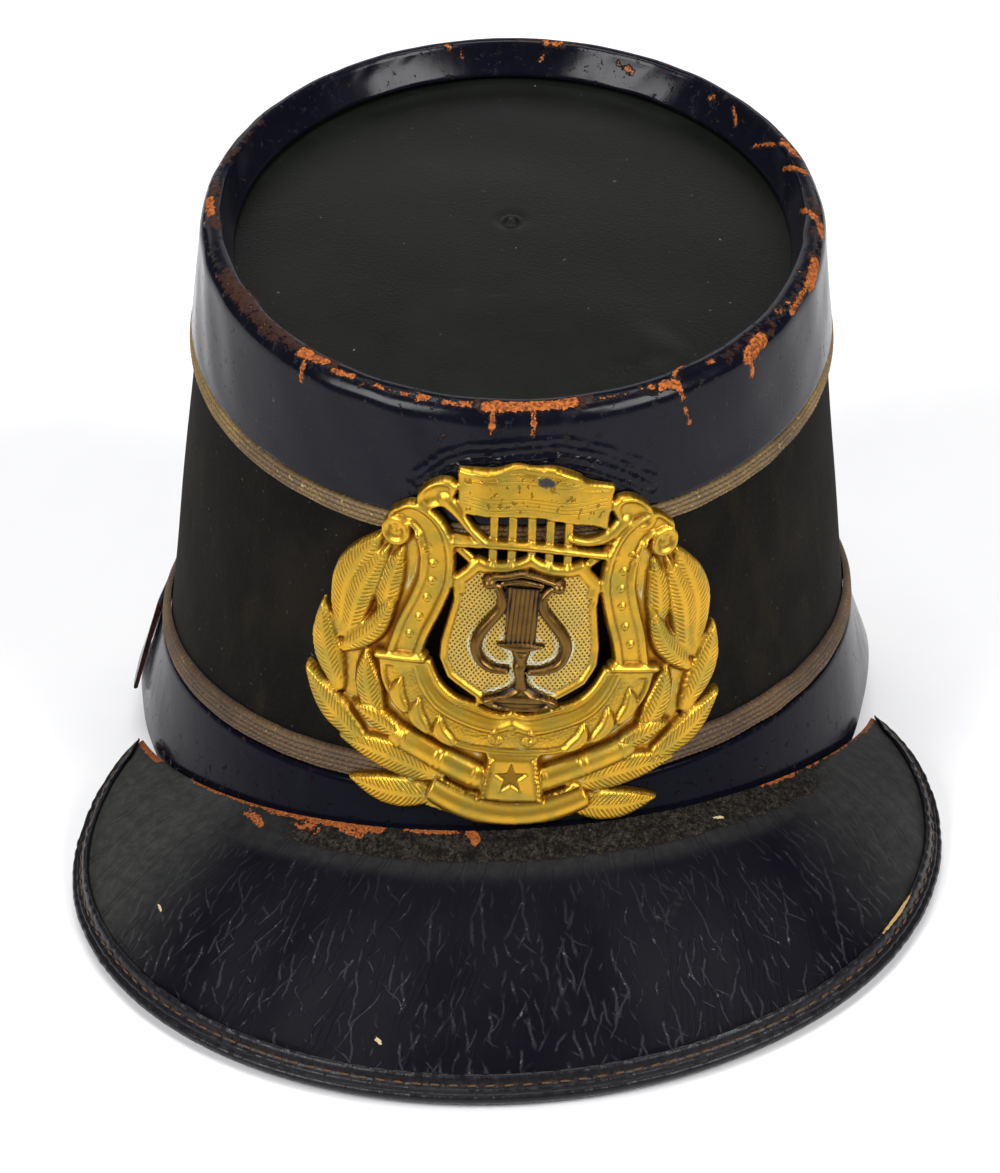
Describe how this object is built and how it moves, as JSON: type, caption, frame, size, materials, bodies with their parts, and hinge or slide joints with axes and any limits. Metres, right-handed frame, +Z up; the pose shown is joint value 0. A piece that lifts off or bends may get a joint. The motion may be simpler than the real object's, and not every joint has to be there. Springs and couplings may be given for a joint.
{
  "type": "shako hat",
  "caption": "Tapered felt shako with a sunken leather top, patent leather bands, woven braids, a deep flared peak and a stamped brass lyre badge.",
  "frame": {"origin": "on the surface the hat rests on, below the middle of the hat's bounding box", "axes": "+Z up, the front with its peak and badge towards -Y, +X to the right as the front is looked at"},
  "size_m": [0.2072, 0.253, 0.1493],
  "materials": {
    "felt": "matt brown-black wool felt, slightly worn",
    "top_leather": "dull greenish-black leather with a fine grain",
    "patent_leather": "glossy blue-black patent leather, chipped to orange-brown at the rim",
    "braid": "flat woven braid, once gilt, now dull tan",
    "peak_leather": "glossy black leather, crazed and creased, raw orange-brown upper edge",
    "binding_leather": "folded black leather edge with a line of brown stitches",
    "brass": "stamped yellow brass, satin, brown in the recesses",
    "bronze": "darkened bronze casting, rubbed bright on the ridges"
  },
  "bodies": {
    "root": {"crown_body": "felt", "crown_top": "top_leather", "top_band": "patent_leather", "upper_braid": "braid", "lower_band": "patent_leather", "lower_braid": "braid", "peak": "peak_leather", "peak_binding": "binding_leather", "badge_plate": "brass", "badge_lyre": "bronze"}
  },
  "joints": []
}
